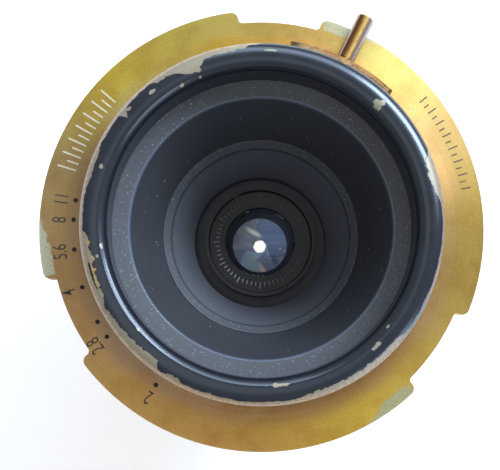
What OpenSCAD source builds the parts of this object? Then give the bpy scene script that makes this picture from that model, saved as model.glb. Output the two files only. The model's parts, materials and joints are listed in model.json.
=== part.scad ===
// Wide-angle lens for a film camera, in a brass bayonet flange.
//
// The optical axis is Z and the subject is at +Z. Z = 0 is the rear face of
// the flange, which seats on the camera. Millimetres and degrees throughout.
// From the front: the hood and its two baffle cones, the aperture ring with
// its pin, the flange, the drive sleeve that carries the ring's turn down to
// the iris, and the rear barrel with the lens block inside it.
//
// Radii are built outwards from the front glass and the iris, and heights from
// the flange to the hood's crest and from there down to the foot. So each size
// below is the width or height of its own piece, and what lies beyond moves.

/* [Optics] */
// Focal length
focal = 28; // [26:0.25:30]
// Full aperture, as an f-number
stop_open = 2; // [1.9:0.05:2.4]
// Smallest aperture, as an f-number
stop_shut = 11; // [10:0.5:16]
// Aperture at which the lens stands
stop_rest = 8; // [2.8:0.2:9.6]
// Enlargement of the iris when seen through the front glasses
pupil_gain = 1.63; // [1.5:0.01:1.8]
// Diameter of the front glasses
glass_d = 19; // [17:0.2:21]
// Radius of the front glass's outer surface
glass_curve = 25; // [22:0.5:40]
// Thickness of the front glass at its middle
front_t = 3; // [2.6:0.1:3.4]
// Gap that the front spacer keeps between the front glasses
front_gap = 0.45; // [0.3:0.05:0.8]
// Thickness of each half of the front doublet
doublet_t = 1.8; // [1.7:0.1:2.2]
// Radius of the doublets' cemented faces
join_curve = 30; // [28:1:50]
// Diameter of the rear glasses
tail_glass_d = 17.6; // [15.6:0.2:19]
// Radius of the rear glass's outer surface
tail_curve = 50; // [40:1:80]
// Thickness of the rear flint
tail_flint_t = 1.5; // [1.3:0.1:1.8]
// Thickness of the rear crown
tail_crown_t = 1.9; // [1.7:0.1:2.1]
// Thickness of the rear glass
tail_element_t = 2.2; // [1.9:0.1:2.4]
// Height of the rear spacer
tail_spacer_t = 1.2; // [1:0.1:1.4]

/* [Iris] */
// Width of a blade's crescent
blade_w = 4.9; // [4.6:0.05:5.4]
// Thickness of a blade
blade_t = 0.12; // [0.08:0.01:0.14]
// Radius of the pins on the blades
blade_pin_r = 0.4; // [0.3:0.05:0.45]
// Distance from a blade's back to its pivot
pivot_out = 1.8; // [1.6:0.05:2.2]
// Distance from a blade's back to its drive pin
drive_out = 1.4; // [1.2:0.05:1.6]
// Thickness of the cam ring
cam_t = 1.4; // [1.2:0.1:1.6]
// Thickness of the iris base
base_t = 0.8; // [0.6:0.1:1.2]

/* [Name ring and cell] */
// Wall of the front cell round the glass
cell_wall = 3.58; // [3:0.02:4.2]
// How far the name ring laps over the front glass
glass_lap = 1.2; // [0.8:0.1:1.6]
// Height of the name ring's rim in front of the glass
name_rise = 2.4; // [2:0.1:2.8]
// Depth of the name ring's engraved face below its rim
name_sink = 1.4; // [1:0.1:1.6]
// Width of the chamfer inside the name ring's rim
name_chamfer = 0.3; // [0.1:0.1:0.6]
// Width of the two spanner slots across the name ring's rim
spanner_w = 1.4; // [1:0.1:2]
// Direction of the first spanner slot from the X axis
spanner_angle = 118; // [0:1:179]

/* [Baffle cones] */
// Width of the dark groove round the name ring
groove_w = 2.6; // [2.2:0.1:3.2]
// Depth of the groove below the lower cone's foot
groove_h = 3.8; // [3.2:0.1:4.6]
// Distance of the front glass below the lower cone's foot
glass_drop = 0.2; // [0:0.1:0.8]
// Spread of the lower cone, from its foot to its top
lower_w = 4.9; // [4.2:0.1:5.6]
// Height of the lower cone
lower_h = 11; // [10:0.1:12.4]
// Width of the sloping step between the cones
cone_step = 1.7; // [1.2:0.1:2.2]
// Height of the sloping step between the cones
cone_step_h = 1.8; // [1.2:0.1:2.2]
// Spread of the upper cone, from its foot to its top
upper_w = 6.05; // [5.2:0.05:7]
// Height of the upper cone
upper_h = 14.8; // [13:0.1:16.6]
// Width of the collar that a filter rests on
collar_w = 3.55; // [3:0.05:4.2]
// Fall of the collar from its rim to the upper cone
collar_fall = 0.9; // [0.4:0.1:1.2]
// Depth of the collar's rim below the hood's crest
collar_depth = 9.8; // [9:0.1:10.8]
// Wall of both cones
cone_wall = 1.1; // [0.8:0.1:1.3]

/* [Hood] */
// Height of the hood from its skirt to its crest
hood_h = 5.2; // [4.8:0.1:5.8]
// Radius of the lip's rounding on the inside
lip_crest = 2.35; // [1.8:0.05:2.8]
// Fall of the lip from its crest to its outer wall
lip_fall = 1.9; // [1.2:0.1:2.8]
// Wall of the tube that goes down inside the neck
tube_wall = 0.65; // [0.5:0.05:0.9]
// Wall of the neck that carries the hood and the aperture ring
neck_wall = 1.3; // [1:0.05:1.6]

/* [Aperture ring] */
// Width of the aperture ring
ring_w = 3.7; // [3.2:0.05:4.4]
// Height of the aperture ring above the flange
ring_h = 4.8; // [4.6:0.1:5.4]
// How far the boss stands out from the ring
boss_rise = 2.15; // [1.6:0.05:3.2]
// Angle that the boss spans
boss_span = 35; // [20:1:60]
// Direction of the pin from the X axis as the lens stands
pin_angle = 63.4; // [40:0.1:80]
// Diameter of the pin
pin_d = 3.85; // [2.8:0.05:3.95]
// How far the pin reaches past the flange's lobes
pin_over = 2.75; // [1:0.05:6]
// Turn of the ring from full aperture to the smallest one
ring_throw = 64.7; // [56:0.1:74]
// Radius of the screws that key the ring to the drive sleeve
key_r = 0.7; // [0.6:0.05:0.8]

/* [Flange] */
// Width of the flange from its bore to its lobes
flange_w = 10.38; // [9:0.02:14]
// Thickness of the flange
flange_t = 4; // [3.5:0.1:5]
// Number of bayonet notches
notch_count = 3; // [2:1:5]
// Depth of a notch below the lobes
notch_depth = 2.6; // [2.3:0.1:3.2]
// Angle that the floor of a notch spans
notch_span = 20.1; // [12:0.1:36]
// Direction of the first notch from the X axis
notch_angle = 85; // [0:1:120]
// Rounding of the lobe ends
lobe_round = 1.5; // [0.8:0.1:1.8]
// Direction of the smallest aperture's mark from the X axis
scale_angle = 171.6; // [150:0.1:200]
// Angle by which the middle of the scale leads an even spacing
scale_bow = 1.75; // [0:0.05:2.5]
// Distance of the scale's marks from the flange's bore
mark_in = 3.08; // [2:0.02:4]
// Diameter of the marks on the scale
mark_d = 1; // [0.6:0.1:1.4]
// Depth of the marks on the scale
mark_depth = 0.3; // [0.1:0.05:0.6]
// Width of the spigot from the flange's bore to its outside
spigot_w = 3.88; // [3.4:0.02:5]
// Length of the spigot
spigot_h = 5; // [4.4:0.1:6.5]
// Number of screws that hold the flange
screw_count = 6; // [3:1:8]
// Radius of the flange screws
screw_r = 0.9; // [0.8:0.05:1]

/* [Rear housing] */
// Wall of the housing and the rear barrel
house_wall = 1.8; // [1.6:0.05:2.2]
// Room round the lens block's flange inside the rear barrel
barrel_room = 1.9; // [1.5:0.1:3]
// Thickness of the web that holds the lens block
web_t = 2.4; // [2:0.1:3]
// Length of the lens block behind its flange
tail_h = 3.8; // [3.5:0.1:5]
// Depth of the recess between the lens block and the foot
recess_h = 4.2; // [4:0.1:8]

/* [Hidden] */
$fn = 96;
BLADES = 6;

// Clearances
fit = 0.05;       // round a piece that turns or slides in another
seat = 0.02;      // between pieces that are screwed or cemented together
run = 0.5;        // round the drive sleeve, which touches only its screws
over = 1;         // how far a cut runs past the face it opens
edge_round = 0.2; // radius of the edges of the cones and of the hood's foot
nose_round = 0.8; // radius of the blunt edge between the step and the lower cone
lobe_flat = 0.15; // straight stretch between the two roundings of a lobe's end

// How deep a sphere's cap is at radius r
function dip(curve, r) = curve - sqrt(curve * curve - r * r);

// ---- Radii, from the axis outwards

// Iris, worked out from the apertures
open_r = focal / stop_open / 2 / pupil_gain;
blade_back_r = open_r + blade_w;
pivot_r = blade_back_r + pivot_out;
drive_r = blade_back_r + drive_out;
function stop_turn(stop) = 2 * asin((open_r - focal / stop / 2 / pupil_gain) / (2 * pivot_r));
shut_turn = stop_turn(stop_shut);
rest_turn = stop_turn(stop_rest);
turn_ratio = shut_turn / ring_throw;
open_limit = rest_turn / turn_ratio;
shut_limit = (shut_turn - rest_turn) / turn_ratio;
arm_w = 0.9;
stalk_w = 1.5;
tab_w = 1.4;
arm_in_r = blade_back_r - arm_w;
arm_angle = 45;
tip_angle = 112;
eye_rim = 0.5;
slot_half = blade_pin_r + 0.08;
cam_rim = 2.4;
cam_margin = 1.1;
cam_r = pivot_r + cam_rim;
cam_hole_r = open_r + cam_margin;
chamber_r = cam_r + fit;
cam_drive_r = 0.5;
cam_drive_in = cam_r - 1;

// Name ring and front cell
glass_r = glass_d / 2;
glass_view_r = glass_r - glass_lap;
cell_wall_r = glass_r + seat;
name_r = cell_wall_r + cell_wall;
name_rim_w = 0.8;
name_face_r = name_r - name_rim_w - name_chamfer;
spacer_wall = 0.9;
cell_lip_w = 1.5;

// Baffle cones
cone_foot_r = name_r + groove_w;
step_foot_r = cone_foot_r + lower_w;
cone_mid_r = step_foot_r + cone_step;
cone_top_r = cone_mid_r + upper_w;
upper_slope = upper_w / upper_h;
lower_slope = lower_w / lower_h;
upper_side = cone_wall * sqrt(1 + upper_slope * upper_slope);
lower_side = cone_wall * sqrt(1 + lower_slope * lower_slope);
socket_h = 2.4;
socket_lip = 0.4;
lip_h = 0.8;

// Lens block, under the lower cone's tube
block_r = max(cone_foot_r + lower_side, chamber_r + 1.6);
block_flange_r = block_r + 2;
block_tail_r = block_r - 1.7;
tail_glass_r = tail_glass_d / 2;
tail_bore_r = tail_glass_r + seat;
tail_lip_r = tail_glass_r - 1.2;
tail_ring_w = 1.2;

// Drive sleeve, from the ring down to the iris cam
sleeve_wall = 1;
sleeve_tube_r = block_r + run;
sleeve_mid_r = cone_mid_r + upper_side + run;
cam_drive_out = sleeve_tube_r + sleeve_wall;

// Housing, outside the drive sleeve by the running gap
cone_in_r = sleeve_mid_r + sleeve_wall + run;
cone_side = house_wall * 1.15;
rear_bore_r = block_flange_r + barrel_room;
rear_r = rear_bore_r + house_wall;
joint_r = rear_bore_r + house_wall / 2;

// Neck, hood, aperture ring and flange
bore_r = cone_top_r + collar_w;
neck_bore_r = bore_r + tube_wall + seat;
neck_r = neck_bore_r + neck_wall;
ring_in = neck_r + fit;
ring_r = ring_in + ring_w;
skirt_step = 0.8;
ring_skirt_r = ring_r - skirt_step;
hood_r = ring_r;
crest_r = bore_r + lip_crest;
flange_bore_r = ring_skirt_r + 0.3;
flange_r = flange_bore_r + flange_w;
spigot_r = flange_bore_r + spigot_w;
mark_r = flange_bore_r + mark_in;
boss_r = ring_r + boss_rise;
stud_r = 1;
pin_reach = flange_r + pin_over;
screw_ring_r = (flange_bore_r + spigot_r) / 2;
screw_head_r = screw_r + 0.5;
key_count = 3;
sleeve_r = bore_r - 2 * fit;
key_in = sleeve_r - 1.65;
key_out = ring_skirt_r - 0.5;
key_first = pin_angle + 60;
slot_slack = 1.5;

// ---- Heights, from the flange up to the hood's crest

// The spigot's rim, let into the flange's rear face
register_h = 0.5;
register_w = 0.5;
ring_low_z = register_h + fit;
ring_z = flange_t + 2 * fit;
ring_top_z = ring_z + ring_h;
washer_t = 0.3;
hood_under_z = ring_top_z + washer_t + 2 * fit;
crest_z = hood_under_z + hood_h;
neck_top_z = crest_z - 2.6;
boss_low_z = ring_z + 0.2;
boss_top_z = ring_top_z - 0.1;
pin_z = boss_top_z - pin_d / 2 - fit;
screw_head_h = 1.5;
screw_bite = flange_t - 1.4;

// ---- Heights, from the crest down to the foot

collar_rim_z = crest_z - collar_depth;
collar_z = collar_rim_z - collar_fall;
collar_t = 1.5;
shoulder_z = collar_rim_z - collar_t;
key_z = min(shoulder_z, flange_t) / 2;
step_z = collar_z - upper_h;
socket_z = step_z - socket_h;
skirt_z = socket_z - lip_h;
step_foot_z = step_z - cone_step_h;
foot_z = step_foot_z - lower_h;
groove_z = foot_z - groove_h;
sleeve_top_z = shoulder_z - 0.3;
sleeve_collar_z = key_z - key_r - 0.7;
sleeve_mid_z = skirt_z - run;
sleeve_tube_z = foot_z - run;
cone_low_z = sleeve_mid_z - sleeve_wall;
joint_h = 3;
joint_z = sleeve_tube_z - 0.6;

// Front glasses, from the front one down to the cam
glass_z = foot_z - glass_drop;
name_rim_z = glass_z + name_rise;
name_face_z = name_rim_z - name_sink;
cell_z = glass_z - 0.6;
crown_z = glass_z - front_t - front_gap - 2 * seat;
flint_z = crown_z - doublet_t - seat;
doublet_seat_z = flint_z - doublet_t;
cell_lip = 0.9;
cell_foot_z = doublet_seat_z - cell_lip;

// Iris
blade_pitch = blade_t + 0.08;
stack_h = BLADES * blade_pitch;
cam_z = cell_foot_z - fit - cam_t;
cam_drive_z = cam_z + cam_t / 2;
sleeve_foot_z = cam_drive_z - cam_drive_r - 1.2;
base_z = cam_z - stack_h - 2 * fit;
base_seat_z = base_z - base_t;

// Rear glasses, lens block and barrel
tail_seat_z = base_seat_z - 1;
tail_ring_t = 1;
web_z = base_seat_z - 2.6;
web_under_z = web_z - web_t;
block_flange_t = 1.5;
block_step_z = web_under_z - block_flange_t;
block_end_z = block_step_z - tail_h;
barrel_z = block_end_z - recess_h;
lock_t = 1.7;

// ---------------------------------------------------------------- shapes

// Flat ring from r_in to r_out, standing on z
module ring_at(z, h, r_out, r_in) {
    translate([0, 0, z]) linear_extrude(height = h) difference() {
        circle(r = r_out);
        circle(r = r_in);
    }
}

// Flat outline of the part of a disc between two directions
module sector(r, from, to) {
    steps = ceil((to - from) / 30);
    intersection() {
        circle(r = r);
        polygon(concat([[0, 0]], [for (i = [0 : steps])
            let (a = from + (to - from) * i / steps)
            [1.4 * r * cos(a), 1.4 * r * sin(a)]]));
    }
}

// Slot through a round wall, between two directions
module wall_slot(r_out, r_in, from, to, z, h) {
    translate([0, 0, z]) linear_extrude(height = h) difference() {
        sector(r_out, from, to);
        circle(r = r_in);
    }
}

// Straight pin or hole that lies along a radius
module radial_pin(angle, z, r, from, to) {
    rotate([0, 0, angle]) translate([from, 0, z]) rotate([0, 90, 0])
        cylinder(r = r, h = to - from, $fn = 32);
}

// Corner b of an outline, rounded to radius r between its neighbours a and c
function rounded(a, b, c, r) =
    let (u = (a - b) / norm(a - b), v = (c - b) / norm(c - b),
        half = acos(u * v) / 2,
        middle = b + r / sin(half) * (u + v) / norm(u + v),
        first = b + r / tan(half) * u - middle,
        steps = max(2, ceil((90 - half) / 5)),
        way = cross(u, v) > 0 ? -1 : 1)
    [for (i = [0 : steps]) middle + turned(first, way * (180 - 2 * half) * i / steps)];

function turned(p, a) = [p[0] * cos(a) - p[1] * sin(a), p[0] * sin(a) + p[1] * cos(a)];

// ---------------------------------------------------------------- front end

// Rim with rounded lobes, between which the camera's claws pass
module lobe_outline() {
    pitch = 360 / notch_count;
    floor_r = flange_r - notch_depth;
    foot_round = notch_depth - lobe_round - lobe_flat;
    foot_angle = asin(foot_round / (floor_r + foot_round));
    half = (pitch - notch_span) / 2 - foot_angle;
    corner_r = flange_r - lobe_round - seat;
    inset = asin((lobe_round + seat) / corner_r);
    circle(r = floor_r);
    for (i = [0 : notch_count - 1]) rotate([0, 0, notch_angle + pitch * (i + 0.5)]) {
        sector(flange_r, -half + inset, half - inset);
        sector(corner_r, -half, half);
        for (side = [-1, 1]) rotate([0, 0, side * (half - inset)])
            translate([corner_r, 0]) circle(r = lobe_round, $fn = 32);
        rotate([0, 0, half]) lobe_foot(floor_r, foot_round, foot_angle);
        mirror([0, 1, 0]) rotate([0, 0, half]) lobe_foot(floor_r, foot_round, foot_angle);
    }
}

// Hollow rounding of radius r where a lobe's end, along the X axis, meets the notch's floor.
// Its circle bites a hair into both, so that no edge is a mere touch.
module lobe_foot(floor_r, r, angle) {
    rise = r - seat;
    foot_r = sqrt(floor_r * (floor_r + 2 * rise));
    difference() {
        sector(foot_r, -angle, angle);
        translate([foot_r, rise]) circle(r = r, $fn = 32);
    }
}

// Direction of an aperture's mark from the X axis
function mark_angle(stop) =
    let (share = 1 - stop_turn(stop) / shut_turn)
    scale_angle + ring_throw * share + 4 * scale_bow * share * (1 - share);

module flange() {
    color("goldenrod") difference() {
        linear_extrude(height = flange_t) difference() {
            lobe_outline();
            circle(r = flange_bore_r);
        }
        translate([0, 0, -over]) cylinder(r = spigot_r + register_w + seat, h = over + register_h);
        for (stop = [stop_open, 2.8, 3.1, 4, 5.6, 8, stop_shut]) rotate([0, 0, mark_angle(stop)])
            translate([mark_r, 0, flange_t - mark_depth])
            cylinder(r = mark_d / 2, h = mark_depth + over, $fn = 24);
        flange_screw_places() translate([0, 0, -over])
            cylinder(r = screw_r + seat, h = screw_bite + over + 0.2, $fn = 24);
    }
}

module flange_screw_places() {
    for (i = [0 : screw_count - 1]) rotate([0, 0, (i + 0.5) * 360 / screw_count])
        translate([screw_ring_r, 0, 0]) children();
}

module flange_screws() {
    color("silver") flange_screw_places() difference() {
        union() {
            translate([0, 0, -spigot_h + 0.5])
                cylinder(r = screw_r, h = spigot_h - 0.5 + screw_bite, $fn = 24);
            translate([0, 0, -spigot_h + 0.1])
                cylinder(r = screw_head_r, h = screw_head_h - 0.1, $fn = 24);
        }
        translate([-screw_head_r, -0.2, -spigot_h - over])
            cube([2 * screw_head_r, 0.4, over + 0.6]);
    }
}

// Front part of the housing: neck, spigot and the cone round the drive sleeve
module housing_profile() {
    throat_z = sleeve_collar_z - run;
    slope = (bore_r - cone_in_r) / (throat_z - step_z);
    under_r = bore_r - slope * (throat_z + spigot_h) + cone_side;
    polygon([
        [neck_bore_r, neck_top_z], [neck_bore_r, shoulder_z], [bore_r, shoulder_z],
        [bore_r, throat_z], [cone_in_r, step_z], [cone_in_r, cone_low_z],
        [rear_bore_r, sleeve_tube_z], [joint_r, sleeve_tube_z], [joint_r, joint_z - joint_h],
        [rear_r, joint_z - joint_h], [rear_r, joint_z],
        [cone_in_r + cone_side, cone_low_z - 0.6], [cone_in_r + cone_side, step_z],
        [under_r, -spigot_h], [spigot_r - 0.3, -spigot_h], [spigot_r, -spigot_h + 0.3],
        [spigot_r, 0], [spigot_r + register_w, 0], [spigot_r + register_w, register_h - seat],
        [neck_r, register_h - seat], [neck_r, neck_top_z]]);
}

// Rear part of the housing, screwed into the cone: barrel, web and foot
module rear_barrel() {
    color("dimgray") rotate_extrude() polygon([
        [rear_bore_r, sleeve_tube_z - seat], [rear_bore_r, web_z], [block_r + fit, web_z],
        [block_r + fit, web_under_z], [rear_bore_r, web_under_z],
        [rear_bore_r, barrel_z + 0.6], [rear_bore_r + 0.6, barrel_z],
        [rear_r - 0.5, barrel_z], [rear_r, barrel_z + 0.5],
        [rear_r, joint_z - joint_h - seat], [joint_r - seat, joint_z - joint_h - seat],
        [joint_r - seat, sleeve_tube_z - seat]]);
}

module housing() {
    margin = asin(key_r / bore_r) + slot_slack;
    color("dimgray") difference() {
        rotate_extrude() housing_profile();
        for (i = [0 : key_count - 1]) rotate([0, 0, key_first + i * 360 / key_count])
            wall_slot(neck_r + over, bore_r - over, -shut_limit - margin, open_limit + margin,
                key_z - key_r - 0.1, 2 * key_r + 0.2);
        flange_screw_places() translate([0, 0, -spigot_h - over]) {
            cylinder(r = screw_r + seat, h = spigot_h + 2 * over, $fn = 24);
            cylinder(r = screw_head_r + fit, h = screw_head_h + over, $fn = 24);
        }
    }
}

// Hood: a tube in the neck, a skirt over it, and the rounded lip
module hood() {
    foot = [bore_r, collar_rim_z + seat];
    outer_w = hood_r - crest_r;
    color([0.13, 0.13, 0.14]) rotate_extrude() polygon(concat(
        [foot + [edge_round, 0], foot + [0, edge_round]],
        [for (a = [0 : 10 : 80]) [crest_r, crest_z] - lip_crest * [cos(a), 1 - sin(a)]],
        [for (a = [90 : -6 : 0]) [crest_r + outer_w * cos(a), crest_z - lip_fall * (1 - sin(a))]],
        [[hood_r, hood_under_z + 0.3], [hood_r - 0.3, hood_under_z],
         [neck_r + seat, hood_under_z], [neck_r + seat, neck_top_z + fit],
         [neck_bore_r - seat, neck_top_z + fit], [neck_bore_r - seat, collar_rim_z + seat]]));
}

// ---------------------------------------------------------------- baffle cones

// Upper cone, hung by its collar, with a socket for the lower one
module shade_front() {
    under_r = cone_top_r + upper_side - upper_slope * (collar_z - shoulder_z);
    rim = [bore_r, collar_rim_z];
    foot = [cone_mid_r + seat, step_z];
    color([0.16, 0.16, 0.18]) rotate_extrude() polygon(concat(
        [[neck_bore_r - seat, shoulder_z], [neck_bore_r - seat, collar_rim_z], rim],
        rounded(rim, [cone_top_r, collar_z], foot, edge_round), [foot,
        [cone_mid_r + seat, socket_z],
        [cone_mid_r + seat - socket_lip, socket_z], [cone_mid_r + seat - socket_lip, skirt_z],
        [cone_mid_r + upper_side, skirt_z], [cone_mid_r + upper_side, step_z],
        [under_r, shoulder_z]]));
}

// Lower cone, dropped into the socket, with the tube round the lens block
module shade_rear() {
    low_r = cone_mid_r - socket_lip;
    side_r = step_foot_r + lower_side - lower_slope * (step_foot_z - skirt_z);
    top = [cone_mid_r, step_z];
    nose = [step_foot_r, step_foot_z];
    foot = [cone_foot_r, foot_z];
    color([0.16, 0.16, 0.18]) rotate_extrude() polygon(concat(
        rounded([cone_mid_r, socket_z], top, nose, edge_round),
        rounded(top, nose, foot, nose_round),
        [foot, [cone_foot_r, groove_z], [cone_foot_r + lower_side, groove_z],
        [cone_foot_r + lower_side, foot_z], [min(side_r, low_r), skirt_z],
        [low_r, skirt_z], [low_r, socket_z], [cone_mid_r, socket_z]]));
}

// ---------------------------------------------------------------- aperture drive

module aperture_ring() {
    color("saddlebrown") difference() {
        union() {
            ring_at(ring_low_z, ring_z - ring_low_z, ring_skirt_r, ring_in);
            ring_at(ring_z, ring_h, ring_r, ring_in);
            translate([0, 0, boss_low_z]) linear_extrude(height = boss_top_z - boss_low_z)
                difference() {
                    sector(boss_r, pin_angle - boss_span / 2, pin_angle + boss_span / 2);
                    circle(r = ring_in + 1);
                }
        }
        radial_pin(pin_angle, pin_z, stud_r + seat, ring_in + 1, boss_r + over);
        for (i = [0 : key_count - 1])
            radial_pin(key_first + i * 360 / key_count, key_z, key_r + seat, ring_in - over,
                key_out + seat);
        rotate([0, 0, mark_angle(stop_rest)]) translate([ring_r - 0.4, -0.2, ring_z - over])
            cube([over, 0.4, ring_h + 2 * over]);
    }
}

module aperture_pin() {
    tip = 0.3;
    color("peru") rotate([0, 0, pin_angle]) translate([0, 0, pin_z]) rotate([0, 90, 0])
        rotate_extrude($fn = 64) polygon([
            [0, ring_in + 1.2], [stud_r, ring_in + 1.2], [stud_r, boss_r],
            [pin_d / 2 - tip, boss_r], [pin_d / 2, boss_r + tip],
            [pin_d / 2, pin_reach - tip], [pin_d / 2 - tip, pin_reach], [0, pin_reach]]);
}

module friction_washer() {
    color("silver") ring_at(ring_top_z + fit, washer_t, ring_r - 0.4, ring_in);
}

module key_screws() {
    color("silver") for (i = [0 : key_count - 1])
        radial_pin(key_first + i * 360 / key_count, key_z, key_r, key_in + seat, key_out);
}

// Drive sleeve: follows the outside of both cones and ends round the lens block
module drive_sleeve() {
    mid_r = sleeve_mid_r;
    top_in_r = mid_r + upper_slope * (sleeve_top_z - step_z);
    color([0.55, 0.53, 0.5]) difference() {
        rotate_extrude() polygon([
            [top_in_r, sleeve_top_z], [mid_r, step_z], [mid_r, sleeve_mid_z],
            [sleeve_tube_r, sleeve_tube_z], [sleeve_tube_r, sleeve_foot_z],
            [sleeve_tube_r + sleeve_wall, sleeve_foot_z],
            [sleeve_tube_r + sleeve_wall, sleeve_tube_z - 0.4],
            [mid_r + sleeve_wall, sleeve_mid_z - 0.4], [mid_r + sleeve_wall, step_z],
            [mid_r + upper_slope * (sleeve_collar_z - step_z) + sleeve_wall, sleeve_collar_z],
            [sleeve_r, sleeve_collar_z], [sleeve_r, sleeve_top_z]]);
        for (i = [0 : key_count - 1])
            radial_pin(key_first + i * 360 / key_count, key_z, key_r + seat, key_in, bore_r);
        for (side = [0, 180])
            radial_pin(side, cam_drive_z, cam_drive_r + seat, sleeve_tube_r - over,
                cam_drive_out + over);
    }
}

module cam_drive_screws() {
    color("silver") for (side = [0, 180])
        radial_pin(side, cam_drive_z, cam_drive_r, cam_drive_in + seat, cam_drive_out);
}

// ---------------------------------------------------------------- iris

// Where a blade's drive pin stands once the blade has turned about its pivot
function drive_pin(turn) =
    [pivot_r, 0] + turned([-pivot_r, drive_r], turn);

// The same place as the cam sees it, which has turned with the ring
function cam_track(turn) = turned(drive_pin(turn), (turn - rest_turn) / turn_ratio);

// Unit vector along the track
function track_way(turn) =
    let (step = cam_track(turn + 0.02) - cam_track(turn - 0.02)) step / norm(step);

// One slot: the pin's track, widened to both sides and run on past both ends
module cam_slot() {
    steps = 20;
    function beside(turn, side, on) =
        let (way = track_way(turn))
        cam_track(turn) + side * slot_half * [-way[1], way[0]] + on * way;
    reach = slot_half + 0.15;
    polygon(concat(
        [beside(0, 1, -reach)],
        [for (i = [0 : steps]) beside(shut_turn * i / steps, 1, 0)],
        [beside(shut_turn, 1, reach), beside(shut_turn, -1, reach)],
        [for (i = [steps : -1 : 0]) beside(shut_turn * i / steps, -1, 0)],
        [beside(0, -1, -reach)]));
}

module iris_cam() {
    color("darkgoldenrod") difference() {
        translate([0, 0, cam_z]) linear_extrude(height = cam_t) difference() {
            circle(r = cam_r);
            circle(r = cam_hole_r);
            for (i = [0 : BLADES - 1]) rotate([0, 0, i * 360 / BLADES]) cam_slot();
        }
        for (side = [0, 180])
            radial_pin(side, cam_drive_z, cam_drive_r + seat, cam_drive_in, cam_r + over);
    }
}

// Outline of one blade at full aperture, with its pivot on the X axis
module blade_outline() {
    difference() {
        union() {
            sector(blade_back_r, arm_angle, tip_angle);
            difference() {
                sector(blade_back_r, -2, arm_angle + 1);
                circle(r = arm_in_r);
            }
        }
        circle(r = open_r);
    }
    translate([arm_in_r + 0.1, -stalk_w / 2]) square([pivot_r - arm_in_r - 0.1, stalk_w]);
    translate([pivot_r, 0]) circle(r = blade_pin_r + eye_rim, $fn = 32);
    translate([-tab_w / 2, blade_back_r - 0.3]) square([tab_w, drive_r - blade_back_r + 0.3]);
    translate([0, drive_r]) circle(r = blade_pin_r + eye_rim - 0.1, $fn = 32);
}

// One blade with its pivot pin to the rear and its drive pin to the front
module iris_blade(number) {
    z = base_z + fit + (number - 0.5) * blade_pitch - blade_t / 2;
    color([0.3, 0.34, 0.42]) rotate([0, 0, (number - 1) * 360 / BLADES])
        translate([pivot_r, 0, 0]) rotate([0, 0, rest_turn]) translate([-pivot_r, 0, 0]) {
            translate([0, 0, z]) linear_extrude(height = blade_t) blade_outline();
            translate([pivot_r, 0, base_seat_z + 0.1])
                cylinder(r = blade_pin_r, h = z - base_seat_z, $fn = 32);
            translate([0, drive_r, z])
                cylinder(r = blade_pin_r, h = cam_z + cam_t - 0.1 - z, $fn = 32);
        }
}

module iris_blade_1() { iris_blade(1); }
module iris_blade_2() { iris_blade(2); }
module iris_blade_3() { iris_blade(3); }
module iris_blade_4() { iris_blade(4); }
module iris_blade_5() { iris_blade(5); }
module iris_blade_6() { iris_blade(6); }

module iris_base() {
    color("darkgoldenrod") difference() {
        ring_at(base_seat_z, base_t, cam_r, cam_hole_r);
        for (i = [0 : BLADES - 1]) rotate([0, 0, i * 360 / BLADES])
            translate([pivot_r, 0, base_seat_z - over])
            cylinder(r = blade_pin_r + fit, h = base_t + 2 * over, $fn = 32);
    }
}

// ---------------------------------------------------------------- lens block

module lens_block() {
    margin = asin(cam_drive_r / chamber_r) + slot_slack;
    color("dimgray") difference() {
        rotate_extrude() polygon([
            [chamber_r, groove_z - fit], [chamber_r, base_seat_z], [tail_lip_r, base_seat_z],
            [tail_lip_r, tail_seat_z], [tail_bore_r, tail_seat_z], [tail_bore_r, block_end_z],
            [block_tail_r, block_end_z], [block_tail_r, block_step_z],
            [block_flange_r, block_step_z], [block_flange_r, web_under_z],
            [block_r, web_under_z], [block_r, groove_z - fit]]);
        for (side = [0, 180]) rotate([0, 0, side])
            wall_slot(block_r + over, chamber_r - over, -shut_limit - margin,
                open_limit + margin, cam_drive_z - cam_drive_r - 0.1, 2 * cam_drive_r + 0.2);
    }
}

// Cell that screws into the lens block and keeps the cam down on the blades
module front_cell() {
    lip_r = glass_r - cell_lip_w;
    color("dimgray") rotate_extrude() polygon([
        [cell_wall_r, cell_z], [cell_wall_r, doublet_seat_z], [lip_r, doublet_seat_z],
        [lip_r, cell_foot_z], [chamber_r - seat, cell_foot_z], [chamber_r - seat, groove_z],
        [name_r, groove_z], [name_r, cell_z]]);
}

// Name ring, which screws into the cell's mouth and holds the front glass
module name_ring() {
    nose_z = glass_z - dip(glass_curve, glass_view_r) + seat;
    slot_h = 0.7 * name_sink;
    color([0.12, 0.12, 0.12]) difference() {
        rotate_extrude() polygon([
            [glass_view_r, name_face_z - 0.2], [glass_view_r, nose_z],
            [glass_view_r + 0.5, nose_z - dip(glass_curve, glass_view_r + 0.5)
                + dip(glass_curve, glass_view_r)],
            [glass_view_r + 0.5, cell_z + seat], [name_r, cell_z + seat],
            [name_r, name_rim_z], [name_r - name_rim_w, name_rim_z],
            [name_face_r, name_face_z]]);
        for (side = [0, 180]) rotate([0, 0, spanner_angle + side])
            translate([name_face_r, -spanner_w / 2, name_rim_z - slot_h])
            cube([name_r - name_face_r + over, spanner_w, slot_h + over]);
    }
}

// Round glass between two spherical faces. A curve above zero bulges forward,
// one below zero is hollow in front, and zero is flat.
module glass(front_z, front_curve, back_z, back_curve, r) {
    spare = r / 2;
    difference() {
        translate([0, 0, back_z - spare]) cylinder(r = r, h = front_z - back_z + 2 * spare);
        glass_front(front_z, front_curve, r);
        glass_back(back_z, back_curve, r);
    }
}

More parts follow.
